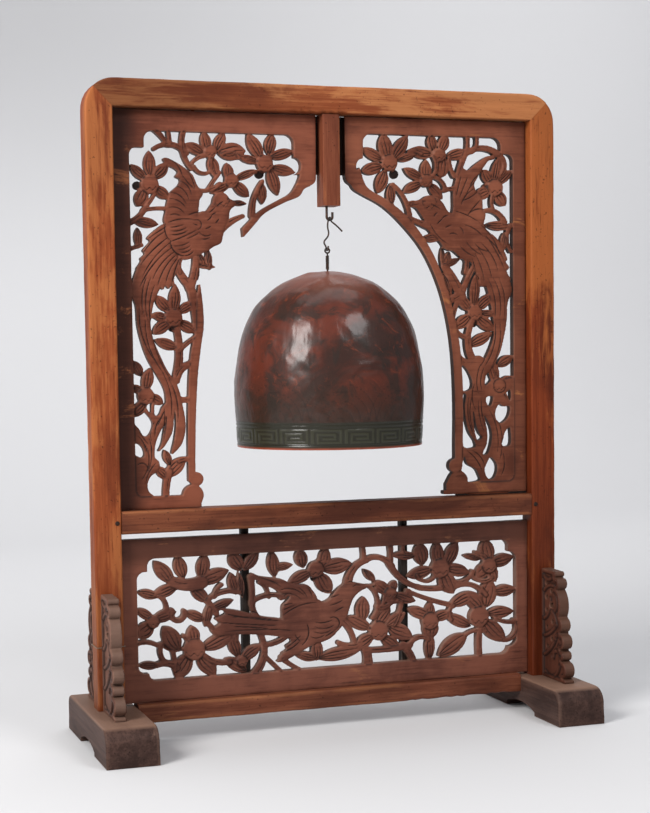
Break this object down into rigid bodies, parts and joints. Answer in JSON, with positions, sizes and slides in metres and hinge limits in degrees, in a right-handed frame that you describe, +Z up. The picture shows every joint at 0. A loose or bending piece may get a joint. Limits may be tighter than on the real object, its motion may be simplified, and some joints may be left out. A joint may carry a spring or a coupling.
{
  "type": "hanging bell gong in a carved wooden stand",
  "caption": "Deep bronze bell hung on a wire from a free-standing carved hardwood frame with three pierced boards of birds and leaves.",
  "frame": {"origin": "on the floor, midway between the two feet and midway between the front of the feet and the back of the bell", "axes": "+X across the stand to the viewer's right, +Y towards the back, +Z up"},
  "size_m": [0.564, 0.2151, 0.707],
  "materials": {
    "carved_wood": "satin",
    "frame_wood": "satin",
    "foot_wood": "satin",
    "dark_wood": "satin",
    "bronze": "satin",
    "steel": "satin",
    "thread": "matte"
  },
  "bodies": {
    "stand": {"left_carved_panel": "carved_wood", "right_carved_panel": "carved_wood", "lower_carved_panel": "carved_wood", "left_post": "frame_wood", "right_post": "frame_wood", "left_foot": "foot_wood", "right_foot": "foot_wood", "left_batten": "dark_wood", "right_batten": "dark_wood", "front_left_spandrel": "frame_wood", "back_left_spandrel": "frame_wood", "front_right_spandrel": "frame_wood", "back_right_spandrel": "frame_wood", "top_rail": "frame_wood", "mid_rail": "frame_wood", "bottom_rail": "frame_wood", "hanging_block": "frame_wood", "panel_shim": "dark_wood", "block_screw": "steel", "mitre_dowels": "dark_wood", "panel_dowels": "dark_wood", "spandrel_pins": "dark_wood", "rail_nails": "steel", "batten_nails": "steel", "tie_thread": "thread", "screw_hook": "steel"},
    "hanger": {"hanger_wire": "steel"},
    "stem": {"stem_wire": "steel", "stem_binding": "steel", "crown_washer": "steel", "stem_knot": "steel"},
    "bell_shell": {"bell": "bronze"}
  },
  "joints": [
    {"name": "bell_swing", "type": "hinge", "parent": "stand", "child": "hanger", "pos_m": [0.0022, 0.002, 0.5632], "axis": [1, 0, 0], "range_deg": [-30, 30]},
    {"name": "bell_sway", "type": "hinge", "parent": "hanger", "child": "stem", "pos_m": [-0.001, 0.002, 0.53], "axis": [0, 1, 0], "range_deg": [-11, 11]},
    {"name": "bell_spin", "type": "hinge", "parent": "stem", "child": "bell_shell", "pos_m": [-0.001, 0.002, 0.506], "axis": [0, 0, 1], "continuous": true}
  ]
}
